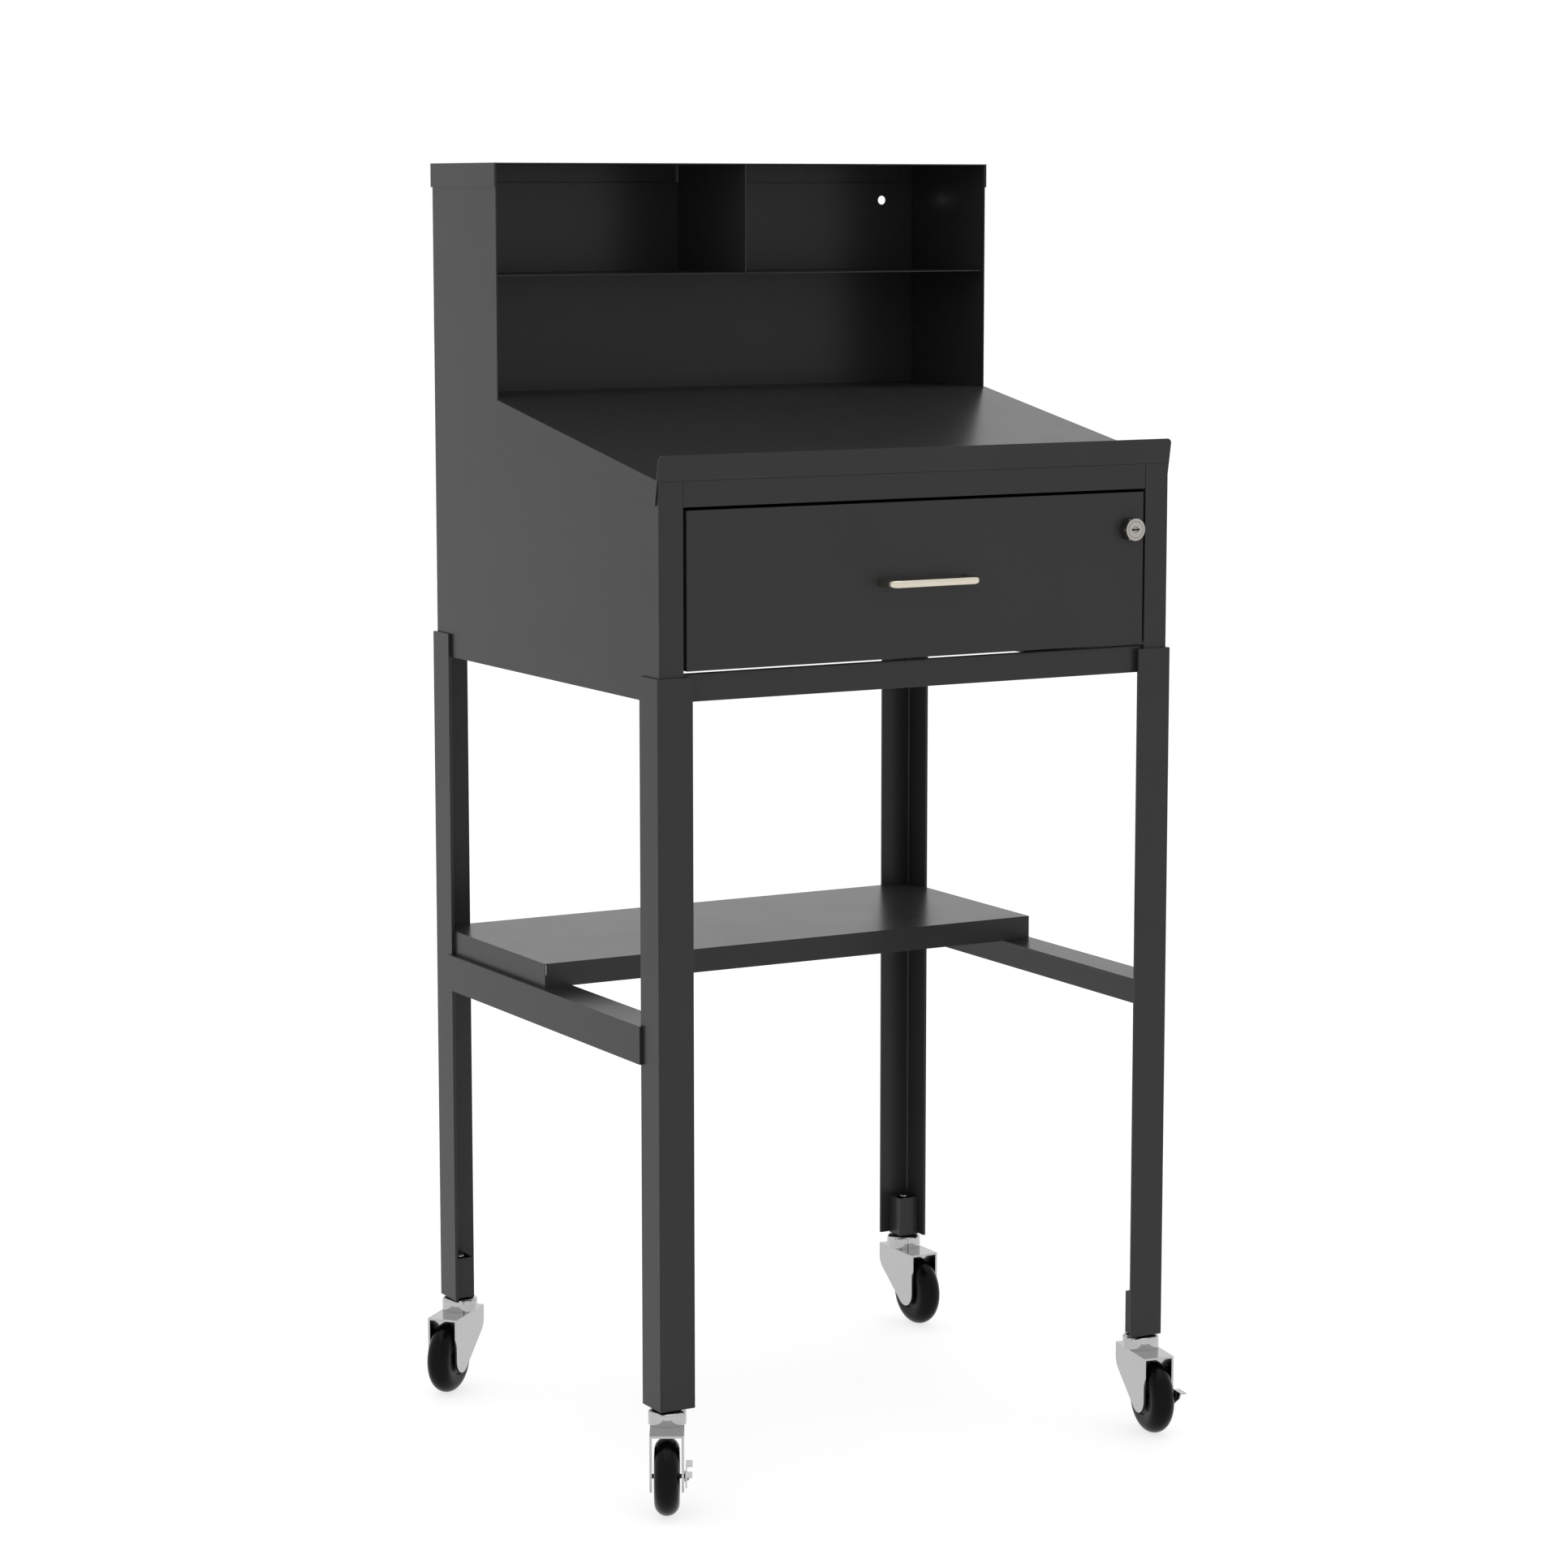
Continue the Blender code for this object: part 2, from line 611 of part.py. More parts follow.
def round_hole(x, z, radius, low, high):
    """A round cutter along Y."""
    frame = ALONG_Y.copy()
    frame.translation = Vector((x, 0, z))
    outline = arc((0, 0), radius, 0, 2 * pi, ROUND_SEGMENTS)[:-1]
    return prism("hole", outline, low, high, frame)


def make_drawer_front():
    opening = CABINET_HALF_WIDTH - STILE_WIDTH
    left = -opening + DRAWER_GAP_LEFT
    right = opening - DRAWER_GAP_RIGHT
    front = CABINET_FRONT
    face = box("drawer_front", (left, front, DRAWER_FACE_BOTTOM),
               (right, front + DRAWER_FACE_RETURN, DRAWER_FACE_TOP), "charcoal_powder_coat")
    hollow = box("hollow", (left + SHEET, front + SHEET, DRAWER_FACE_BOTTOM + SHEET),
                 (right - SHEET, front + DRAWER_FACE_RETURN + PAST, DRAWER_FACE_TOP - SHEET))
    near = front - PAST
    far = front + PAST
    holes = [round_hole(x, HANDLE_LEVEL, SCREW_RADIUS + GAP, near, far) for side, x in handle_positions()]
    holes.append(round_hole(LOCK_X, LOCK_Z, LOCK_BODY_RADIUS + GAP, near, far))
    return cut(face, hollow, *holes)


def make_drawer_box():
    front = CABINET_FRONT + SHEET + GAP
    half = DRAWER_HALF_WIDTH
    tray = box("drawer_box", (-half, front, DRAWER_BOTTOM), (half, DRAWER_REAR, DRAWER_TOP),
               "charcoal_powder_coat")
    hollow = box("hollow", (-half + SHEET, front + SHEET, DRAWER_BOTTOM + SHEET),
                 (half - SHEET, DRAWER_REAR - SHEET, DRAWER_TOP + PAST))
    holes = [round_hole(x, HANDLE_LEVEL, SCREW_RADIUS + GAP, front - PAST, front + PAST)
             for side, x in handle_positions()]
    return cut(tray, hollow, *holes)


def handle_section():
    """Outline of the rod in (outward, up), with rounded corners."""
    wide = HANDLE_DEPTH / 2 - HANDLE_EDGE
    tall = HANDLE_HEIGHT / 2 - HANDLE_EDGE
    outline = arc((wide, tall), HANDLE_EDGE, 0, pi / 2, 3)
    outline += arc((-wide, tall), HANDLE_EDGE, pi / 2, pi, 3)
    outline += arc((-wide, -tall), HANDLE_EDGE, pi, 3 * pi / 2, 3)
    outline += arc((wide, -tall), HANDLE_EDGE, 3 * pi / 2, 2 * pi, 3)
    return outline


def handle_rings(side):
    """The rod's rings from its foot round the bend to the start of the straight."""
    bend_y = CABINET_FRONT - HANDLE_REACH + HANDLE_BEND
    bend_x = HANDLE_X + side * (HANDLE_PITCH / 2 + HANDLE_DEPTH / 2 - HANDLE_BEND)
    stations = [(CABINET_FRONT - GAP, 0)]
    stations += [(bend_y, i / HANDLE_BEND_STEPS * pi / 2) for i in range(HANDLE_BEND_STEPS + 1)]
    rings = []
    for y, angle in stations:
        outward = Vector((side * cos(angle), -sin(angle), 0))
        middle = Vector((bend_x, y, HANDLE_LEVEL)) + outward * (HANDLE_BEND - HANDLE_DEPTH / 2)
        rings.append([middle + outward * across + Vector((0, 0, up)) for across, up in handle_section()])
    return rings


def make_handle():
    """A bow pull: one rod bent back at both ends, tapped for screws from inside."""
    bm = bmesh.new()
    rings = [[bm.verts.new(point) for point in ring] for ring in handle_rings(-1) + handle_rings(1)[::-1]]
    bm.faces.new(rings[0])
    bm.faces.new(rings[-1])
    for ring, other in zip(rings, rings[1:]):
        for i in range(len(ring)):
            j = (i + 1) % len(ring)
            bm.faces.new((ring[i], ring[j], other[j], other[i]))
    handle = add_object("drawer_handle", bm, "polished_metal")
    foot = CABINET_FRONT - GAP
    bores = [round_hole(x, HANDLE_LEVEL, SCREW_RADIUS + GAP, foot - SCREW_GRIP, foot + PAST)
             for side, x in handle_positions()]
    return smooth(cut(handle, *bores))


def make_handle_screw(side, x):
    inside = CABINET_FRONT + SHEET * 2 + GAP * 2
    tip = CABINET_FRONT - SCREW_GRIP + GAP
    frame = frame_of((1, 0, 0), (0, 0, -1), (0, 1, 0), (x, 0, HANDLE_LEVEL))
    profile = [
        (0, tip), (SCREW_RADIUS, tip), (SCREW_RADIUS, inside), (SCREW_HEAD_RADIUS, inside),
        (SCREW_HEAD_RADIUS, inside + SCREW_HEAD * 0.6), (SCREW_HEAD_RADIUS * 0.7, inside + SCREW_HEAD),
        (0, inside + SCREW_HEAD),
    ]
    return smooth(turned("handle_screw_" + side, profile, frame, "zinc_plate", 16))


# ---------------------------------------------------------------- lock


def lock_frame():
    """x is +X, z is +Y, and the origin is on the drawer's front face."""
    return frame_of((1, 0, 0), (0, 0, -1), (0, 1, 0), (LOCK_X, CABINET_FRONT, LOCK_Z))


def make_lock_housing():
    face = -LOCK_PROUD
    back = face + LOCK_LENGTH
    shoulder = face + PLUG_HEAD + GAP
    profile = [
        (PLUG_RADIUS + GAP, face), (LOCK_FACE_RADIUS, face), (LOCK_FACE_RADIUS, face + LOCK_FACE),
        (LOCK_BODY_RADIUS, face + LOCK_FACE), (LOCK_BODY_RADIUS, back), (PLUG_BODY_RADIUS + GAP, back),
        (PLUG_BODY_RADIUS + GAP, shoulder), (PLUG_RADIUS + GAP, shoulder),
    ]
    return smooth(turned("lock_housing", profile, lock_frame(), "polished_metal", 32))


def make_lock_nut():
    front = -LOCK_PROUD + LOCK_FACE + GAP
    outline = arc((0, 0), NUT_CORNER_RADIUS, 0, 2 * pi, 6)[:-1]
    nut = prism("lock_nut", outline, front, front + NUT_THICKNESS, lock_frame(), "polished_metal")
    bore = turned("bore", [(0, front - PAST), (LOCK_BODY_RADIUS + GAP, front - PAST),
                           (LOCK_BODY_RADIUS + GAP, front + PAST * 2), (0, front + PAST * 2)], lock_frame())
    return cut(nut, bore)


def make_lock_plug():
    face = -LOCK_PROUD
    back = face + LOCK_LENGTH + GAP
    tail = back + PLUG_TAIL
    profile = [
        (0, face), (PLUG_RADIUS, face), (PLUG_RADIUS, face + PLUG_HEAD), (PLUG_BODY_RADIUS, face + PLUG_HEAD),
        (PLUG_BODY_RADIUS, back), (PLUG_TAIL_RADIUS, back), (PLUG_TAIL_RADIUS, tail), (0, tail),
    ]
    plug = turned("lock_plug", profile, lock_frame(), "polished_metal", 32)
    dimple = turned("dimple", [(0, face - PAST), (KEY_DIMPLE_RADIUS, face - PAST),
                               (KEY_DIMPLE_RADIUS, face + KEY_DIMPLE_DEPTH), (0, face + KEY_DIMPLE_DEPTH)],
                    lock_frame())
    keyway = box("keyway", (-KEYWAY_WIDTH / 2, -KEYWAY_HEIGHT / 2, face - PAST),
                 (KEYWAY_WIDTH / 2, KEYWAY_HEIGHT / 2, face + KEYWAY_DEPTH), frame=lock_frame())
    return smooth(cut(plug, dimple, keyway))


def make_lock_cam():
    """The cam stands up at rest, unlocked. A quarter turn brings it behind the right stile."""
    front = -LOCK_PROUD + LOCK_LENGTH + GAP * 2
    tip = CAM_REACH - CAM_HALF_WIDTH
    outline = arc((0, -tip), CAM_HALF_WIDTH, -pi, 0)
    outline += arc((0, 0), CAM_HALF_WIDTH, 0, pi)
    cam = prism("lock_cam", outline, front, front + CAM_THICKNESS, lock_frame(), "zinc_plate")
    bore = turned("bore", [(0, front - PAST), (PLUG_TAIL_RADIUS + GAP, front - PAST),
                           (PLUG_TAIL_RADIUS + GAP, front + PAST), (0, front + PAST)], lock_frame())
    return cut(cam, bore)


# ---------------------------------------------------------------- casters


def make_stem(corner, x, y):
    """The kingpin, riveted under the fork and standing up inside the socket."""
    under = FORK_TOP - FORK_SHEET - GAP
    profile = [
        (0, under - RIVET_HEIGHT), (RIVET_RADIUS * 0.7, under - RIVET_HEIGHT),
        (RIVET_RADIUS, under - RIVET_HEIGHT * 0.6), (RIVET_RADIUS, under), (STEM_RADIUS, under),
        (STEM_RADIUS, STEM_TOP - 1.0 * MM), (STEM_RADIUS - 1.0 * MM, STEM_TOP), (0, STEM_TOP),
    ]
    stem = turned("caster_stem_" + corner, profile, None, "zinc_plate")
    stem.location = (x, y, 0)
    return smooth(stem)


def make_cup(corner, x, y):
    """The round upper race between the fork and the socket."""
    low = FORK_TOP + GAP
    high = low + CUP_HEIGHT
    bore = STEM_RADIUS + GAP
    profile = [(bore, low)]
    profile += arc((CUP_RADIUS - CUP_ROUND, low + CUP_ROUND), CUP_ROUND, -pi / 2, 0, 3)
    profile += arc((CUP_RADIUS - CUP_ROUND, high - CUP_ROUND), CUP_ROUND, 0, pi / 2, 3)
    profile += [(bore, high)]
    cup = turned("caster_cup_" + corner, profile, None, "zinc_plate")
    cup.location = (x, y, 0)
    return smooth(cup)


def fork_outline():
    """Side plate in the (trail, height) plane, from the heel round the toe to the front."""
    axle = Vector((CASTER_TRAIL, WHEEL_RADIUS))
    knee = Vector(FORK_HEEL_KNEE)
    reach = knee - axle
    tangent = atan(FORK_TOE_RADIUS / (reach.length ** 2 - FORK_TOE_RADIUS ** 2) ** 0.5)
    heading = pi - atan(reach.y / -reach.x)
    touch = heading + (pi / 2 - tangent)
    toe = arc(axle, FORK_TOE_RADIUS, touch, 2 * pi, FORK_TOE_STEPS)
    heel_top = FORK_TOP - FORK_HEEL_DROP
    heel = []
    for i in range(1, BEND_STEPS):
        t = i / BEND_STEPS
        bend = Vector((-FORK_BACK, heel_top - 9.0 * MM))
        start = Vector((-FORK_BACK, heel_top))
        point = start.lerp(bend, t).lerp(bend.lerp(knee, t), t)
        heel.append((point.x, point.y))
    outline = [(FORK_FRONT, FORK_TOP), (-FORK_BACK, FORK_TOP), (-FORK_BACK, heel_top)]
    return outline + heel + [tuple(knee)] + [tuple(p) for p in toe]


def side_frame():
    """Outlines in (trail, height), extruded along the caster's axle towards -Y."""
    return frame_of((1, 0, 0), (0, 0, 1), (0, -1, 0))


def make_fork(corner, swivel, braked):
    """An inverted U of folded plate, with a hole for the kingpin and blind seats for the axle.

    On a braked caster the axle runs out through the plate beside the lever.
    """
    inner = FORK_HALF_WIDTH - FORK_SHEET
    outline = fork_outline()
    fork = prism("caster_fork_" + corner, outline, -FORK_HALF_WIDTH, FORK_HALF_WIDTH, side_frame(),
                 "zinc_plate")
    hollow = box("hollow", (-FORK_BACK - PAST, -inner, -PAST),
                 (FORK_FRONT + PAST, inner, FORK_TOP - FORK_SHEET))
    pin = turned("pin", [(0, FORK_TOP - PAST), (FORK_HOLE, FORK_TOP - PAST), (FORK_HOLE, FORK_TOP + PAST),
                         (0, FORK_TOP + PAST)])
    axle_outline = arc((CASTER_TRAIL, WHEEL_RADIUS), AXLE_HOLE, 0, 2 * pi, ROUND_SEGMENTS)[:-1]
    seat = FORK_HALF_WIDTH - AXLE_SKIN
    low = -FORK_HALF_WIDTH - PAST if braked else -seat
    axle = prism("axle", axle_outline, low, seat, side_frame())
    cut(fork, hollow, pin, axle)
    fork.parent = swivel
    return smooth(fork)


def axle_frame():
    """The turning axis of the wheel, in an object whose origin is the middle of the axle."""
    return frame_of((1, 0, 0), (0, 0, -1), (0, 1, 0))


def on_axle(obj, swivel):
    obj.parent = swivel
    obj.location = (CASTER_TRAIL, 0, WHEEL_RADIUS)
    return obj


def make_axle(corner, swivel, braked):
    """A plain axle seated in both plates, or on a braked caster one that runs on as the lever's pivot."""
    end = FORK_HALF_WIDTH - AXLE_SKIN - GAP
    profile = [(0, -end), (AXLE_RADIUS, -end), (AXLE_RADIUS, end), (0, end)]
    if braked:
        outside = FORK_HALF_WIDTH + GAP
        lever = BRAKE_INNER - GAP
        beyond = BRAKE_INNER + BRAKE_SHEET + GAP
        profile = [
            (0, -end), (AXLE_RADIUS, -end), (AXLE_RADIUS, outside), (BRAKE_SPACER_RADIUS, outside),
            (BRAKE_SPACER_RADIUS, lever), (AXLE_RADIUS, lever), (AXLE_RADIUS, beyond),
            (BRAKE_RIVET_RADIUS, beyond), (BRAKE_RIVET_RADIUS * 0.6, beyond + BRAKE_RIVET),
            (0, beyond + BRAKE_RIVET),
        ]
    axle = turned("caster_axle_" + corner, profile, axle_frame(), "blackened_steel")
    return smooth(on_axle(axle, swivel))


def make_wheel(corner, swivel):
    """A solid black wheel with a fully rounded tread and a dished hub."""
    half = WHEEL_WIDTH / 2
    tread = WHEEL_RADIUS - half
    dish = half - HUB_RECESS
    side = [(WHEEL_BORE, half), (HUB_RADIUS, half), (HUB_RADIUS + HUB_RECESS, dish),
            (HUB_RECESS_RADIUS, dish), (HUB_RIM_RADIUS, half)]
    profile = [(r, -y) for r, y in side]
    profile += arc((tread, 0), half, -pi / 2, pi / 2, 8)
    profile += side[::-1]
    wheel = turned("caster_wheel_" + corner, profile, axle_frame(), "black_rubber", WHEEL_SEGMENTS)
    return smooth(on_axle(wheel, swivel))


def make_brake(corner, swivel):
    """A rocker beside the fork, with a pedal folded out at each end."""
    low = BRAKE_INNER
    outside = BRAKE_INNER + BRAKE_SHEET
    top = BRAKE_PEDAL_HEIGHT
    side = top - BRAKE_ARM_HEIGHT
    belly, bottom = BRAKE_BELLY
    front = BRAKE_PEDALS[0][1]
    rear = BRAKE_PEDALS[1][0]
    outline = [
        (rear, top), (rear, side), (-belly, bottom), (belly, bottom),
        (front - BRAKE_ARM_HEIGHT / 2, side), (front, top),
    ]
    frame = side_frame()
    lever = prism("brake_lever_" + corner, outline, -outside, -low, frame, "zinc_plate")
    pedals = [
        box("pedal", (start + SKIM, low + SKIM, top - BRAKE_SHEET), (end - SKIM, BRAKE_PEDAL_OUT, top + SKIM))
        for start, end in BRAKE_PEDALS
    ]
    join(lever, *pedals)
    hole_outline = arc((0, 0), AXLE_HOLE, 0, 2 * pi, ROUND_SEGMENTS)[:-1]
    cut(lever, prism("hole", hole_outline, -outside - PAST, -low + PAST, frame))
    return smooth(on_axle(lever, swivel))


def make_caster(corner):
    sx, sy = corner_signs(corner)
    x = sx * STEM_X
    y = sy * STEM_Y
    swivel = bpy.data.objects.new("swivel_" + corner, None)
    bpy.context.scene.collection.objects.link(swivel)
    swivel.location = (x, y, 0)
    swivel.rotation_euler = (0, 0, SWIVELS[corner])
    braked = corner in BRAKED
    make_stem(corner, x, y)
    make_cup(corner, x, y)
    make_fork(corner, swivel, braked)
    make_axle(corner, swivel, braked)
    make_wheel(corner, swivel)
    if braked:
        make_brake(corner, swivel)


def main():
    clear_scene()
    for corner in SWIVELS:
        make_leg(corner)
        make_socket(corner)
        make_caster(corner)
    for side in ("left", "right"):
        make_stretcher(side)
        make_side_panel(side)
        make_runner_channel(side)
        make_slides(side)
    make_lower_shelf()
    make_back_panel()
    make_bottom_rail()
    make_top_rail()
    make_desk_top()
    make_hood()
    make_cubby_shelf()
    make_cubby_divider()
    make_drawer_front()
    make_drawer_box()
    make_handle()
    for side, x in handle_positions():
        make_handle_screw(side, x)
    make_lock_housing()
    make_lock_nut()
    make_lock_plug()
    make_lock_cam()


main()
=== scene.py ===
"""Looks of the mobile lectern desk: folded and powder-coated sheet steel, zinc-plated casters, a bow handle
and a cam lock. Lengths are metres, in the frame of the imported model: +Z up, -Y towards the user, origin on
the floor.
"""

import json
from math import atan2
from math import cos
from math import pi
from math import radians
from math import sin
from math import tan

import bmesh
import bpy
from mathutils import Matrix
from mathutils import Vector

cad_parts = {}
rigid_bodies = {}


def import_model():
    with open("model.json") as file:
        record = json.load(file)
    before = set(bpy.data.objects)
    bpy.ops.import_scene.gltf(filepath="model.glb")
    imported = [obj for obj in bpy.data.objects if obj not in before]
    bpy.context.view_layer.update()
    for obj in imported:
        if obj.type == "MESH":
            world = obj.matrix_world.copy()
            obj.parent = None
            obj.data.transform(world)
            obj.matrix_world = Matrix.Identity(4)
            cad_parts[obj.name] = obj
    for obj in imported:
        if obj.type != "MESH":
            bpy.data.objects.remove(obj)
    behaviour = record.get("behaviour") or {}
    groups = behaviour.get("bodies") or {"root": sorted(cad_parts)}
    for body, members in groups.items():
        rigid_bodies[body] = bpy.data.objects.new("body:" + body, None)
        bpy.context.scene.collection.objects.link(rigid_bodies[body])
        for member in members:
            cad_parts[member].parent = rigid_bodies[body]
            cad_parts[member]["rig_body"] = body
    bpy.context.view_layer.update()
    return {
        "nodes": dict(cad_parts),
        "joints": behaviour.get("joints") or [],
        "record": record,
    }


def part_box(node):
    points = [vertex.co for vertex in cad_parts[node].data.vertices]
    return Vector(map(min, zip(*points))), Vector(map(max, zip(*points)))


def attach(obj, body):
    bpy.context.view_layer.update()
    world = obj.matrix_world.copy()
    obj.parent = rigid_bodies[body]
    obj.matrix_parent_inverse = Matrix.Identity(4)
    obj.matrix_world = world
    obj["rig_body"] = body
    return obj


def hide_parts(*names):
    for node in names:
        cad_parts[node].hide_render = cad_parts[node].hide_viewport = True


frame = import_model()

MM = 0.001
CORNERS = ("front_left", "front_right", "rear_left", "rear_right")
SIDES = ("left", "right")

# Rounding of the edges of sheet and plate
SHARP_ANGLE = radians(28)  # an edge that turns by less stays as it is
NARROW_FACE = 4.5 * MM  # a face thinner than this is the cut rim of a sheet
FOLD_RADIUS = 0.8 * MM
RIM_RADIUS = 0.3 * MM
LEG_FOLD = 0.9 * MM  # outer corner of the rolled angle
LEG_HOLLOW = 2.2 * MM  # its inner corner
STRETCHER_HOLLOW = 0.6 * MM
SOCKET_FOLD = 1.5 * MM
SLIDE_FOLD = 1.2 * MM
SMOOTH_SHEET = radians(50)
SMOOTH_TURNED = radians(35)

# Casters
WHEEL_HALF_WIDTH = 13.0 * MM
WHEEL_BORE = 2.8 * MM
BEARING_RADIUS = 9.0 * MM  # the raised middle of the hub
DISH_INNER = 10.4 * MM
DISH_OUTER = 19.0 * MM
DISH_DEPTH = 2.2 * MM
DISH_EDGE = 20.0 * MM
CUP_BORE = 5.5 * MM
CUP_SEAT = 0.27 * MM  # how far the cup reaches down to its fork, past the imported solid
CUP_SHOULDER = 3.4 * MM
CUP_HEEL = 0.12 * MM
STEM_RADIUS = 5.2 * MM
STEM_HEAD = 3.0 * MM

# Handle, screws and lock
HANDLE_DEPTH = 8.0 * MM
HANDLE_EDGE = 2.9 * MM
HANDLE_BEND = 12.0 * MM  # outer radius
HANDLE_FOOT = ((0.5, 0.0), (0.15, 0.15), (0.0, 0.5))  # inset and rise of the rounded foot, in mm
SCREW_RADIUS = 2.0 * MM
SCREW_HEAD = 2.6 * MM
# SCREW_SLOT, KEYWAY and KEY_RING size the near-black plates of painted shade in the screw drives and the
# lock
SCREW_SLOT = (4.4, 1.0)  # mm
NUT_BORE = 9.8 * MM
NUT_BEVEL = 0.7 * MM
NUT_CLIP = 0.955  # radius of the turned faces over the radius to the corners
KEYWAY = (9.6, 1.7)  # mm
KEYWAY_DEPTH = 0.52 * MM
KEY_RING = (2.75 * MM, 3.35 * MM)
KEY_RING_DEPTH = 0.05 * MM

# Camera and light
LENS = 95.68
SENSOR = 36.0
CAMERA_PLACE = (-2.2107, -3.9228, 1.3372)
CAMERA_PITCH = 8.094
CAMERA_YAW = 29.254
FLOOR_SIZE = 60.0


# ---------------------------------------------------------------- materials


class Shader:
    """A material's node tree, with short calls for the nodes that the materials here share."""

    def __init__(self, name):
        self.material = bpy.data.materials.new(name)
        self.material.use_nodes = True
        self.tree = self.material.node_tree
        self.surface = self.tree.nodes["Principled BSDF"]
        self.place = self.tree.nodes.new("ShaderNodeTexCoord").outputs["Object"]

    def link(self, source, target):
        self.tree.links.new(source, target)

    def set(self, **values):
        for name, value in values.items():
            self.surface.inputs[name.replace("_", " ")].default_value = value

    def noise(self, scale, detail=2.0, roughness=0.5, stretch=(1, 1, 1)):
        mapping = self.tree.nodes.new("ShaderNodeMapping")
        mapping.inputs["Scale"].default_value = stretch
        self.link(self.place, mapping.inputs["Vector"])
        node = self.tree.nodes.new("ShaderNodeTexNoise")
        node.inputs["Scale"].default_value = scale
        node.inputs["Detail"].default_value = detail
        node.inputs["Roughness"].default_value = roughness
        self.link(mapping.outputs["Vector"], node.inputs["Vector"])
        return node.outputs["Fac"]

    def spread(self, source, low, high, start=0.3, end=0.7):
        """Maps a noise from start..end to low..high."""
        node = self.tree.nodes.new("ShaderNodeMapRange")
        for key, value in (("From Min", start), ("From Max", end), ("To Min", low), ("To Max", high)):
            node.inputs[key].default_value = value
        self.link(source, node.inputs["Value"])
        return node.outputs["Result"]

    def mix(self, factor, first, second):
        node = self.tree.nodes.new("ShaderNodeMix")
        node.data_type = "RGBA"
        for socket, colour in ((node.inputs[6], first), (node.inputs[7], second)):
            if isinstance(colour, bpy.types.NodeSocket):
                self.link(colour, socket)
            else:
                socket.default_value = (*colour, 1.0)
        self.link(factor, node.inputs[0])
        return node.outputs[2]

    def sum(self, first, second, weight=1.0):
        node = self.tree.nodes.new("ShaderNodeMath")
        node.operation = "MULTIPLY_ADD"
        node.inputs[1].default_value = weight
        self.link(second, node.inputs[0])
        self.link(first, node.inputs[2])
        return node.outputs["Value"]

    def bump(self, height, distance, strength=1.0, normal=None):
        node = self.tree.nodes.new("ShaderNodeBump")
        node.inputs["Distance"].default_value = distance
        node.inputs["Strength"].default_value = strength
        self.link(height, node.inputs["Height"])
        if normal:
            self.link(normal, node.inputs["Normal"])
        return node.outputs["Normal"]

    def finish(self, colour=None, roughness=None, normal=None):
        for source, key in ((colour, "Base Color"), (roughness, "Roughness"), (normal, "Normal")):
            if source is not None:
                self.link(source, self.surface.inputs[key])
        return self.material


def powder_coat():
    """Semi-gloss charcoal polyester powder: slight orange peel, fine tooth and cloudy tone."""
    s = Shader("charcoal_powder_coat")
    s.set(Metallic=0.0, IOR=1.306)
    cloud = s.noise(7.0, 3.0)
    speck = s.noise(1500.0, 2.0)
    tone = s.sum(s.spread(cloud, 0.0, 0.6), s.spread(speck, 0.0, 0.4))
    colour = s.mix(tone, (0.0196, 0.0196, 0.0197), (0.0228, 0.0228, 0.0229))
    roughness = s.sum(s.spread(s.noise(22.0, 3.0), 0.275, 0.295), s.spread(speck, -0.008, 0.008))
    peel = s.bump(s.noise(330.0, 2.0), 0.010 * MM, 0.35)
    tooth = s.bump(s.noise(2300.0, 2.0), 0.003 * MM, 0.3, peel)
    return s.finish(colour, roughness, tooth)


def zinc_plate():
    """Bright zinc over pressed steel: clear reflections with faint spangle and rolling marks."""
    s = Shader("zinc_plate")
    s.set(Metallic=1.0)
    spangle = s.noise(240.0, 3.0)
    colour = s.mix(s.spread(spangle, 0.0, 1.0), (0.446, 0.448, 0.449), (0.464, 0.465, 0.464))
    roughness = s.sum(s.spread(s.noise(60.0, 3.0), 0.035, 0.065), s.spread(spangle, 0.0, 0.015))
    normal = s.bump(s.noise(500.0, 2.0, 0.5, (1, 1, 6)), 0.001 * MM, 0.2)
    return s.finish(colour, roughness, normal)


def slide_steel():
    """Rolled and zinc-plated slide channels, with drawing lines along the travel."""
    s = Shader("slide_steel")
    s.set(Metallic=1.0)
    lines = s.noise(900.0, 2.0, 0.5, (1, 0.01, 1))
    colour = s.mix(s.spread(lines, 0.0, 1.0), (0.34, 0.345, 0.35), (0.50, 0.50, 0.50))
    roughness = s.spread(s.noise(120.0, 3.0), 0.24, 0.36)
    return s.finish(colour, roughness, s.bump(lines, 0.004 * MM, 0.6))


def satin_nickel():
    """Warm brushed nickel of the handle, brushed along its length."""
    s = Shader("satin_nickel")
    s.set(Metallic=1.0)
    brush = s.noise(2600.0, 2.0, 0.5, (0.02, 1, 1))
    colour = s.mix(s.spread(brush, 0.0, 1.0), (0.630, 0.580, 0.490), (0.660, 0.606, 0.515))
    roughness = s.spread(s.noise(150.0, 2.0), 0.15, 0.19)
    return s.finish(colour, roughness, s.bump(brush, 0.001 * MM, 0.2))


def lock_nickel():
    """Nickel-plated zinc casting of the lock, with fine turning marks."""
    s = Shader("lock_nickel")
    s.set(Metallic=1.0)
    cast = s.noise(1400.0, 3.0)
    colour = s.mix(s.spread(cast, 0.0, 1.0), (0.365, 0.345, 0.318), (0.400, 0.378, 0.350))
    roughness = s.spread(s.noise(300.0, 2.0), 0.14, 0.20)
    return s.finish(colour, roughness, s.bump(cast, 0.001 * MM, 0.2))


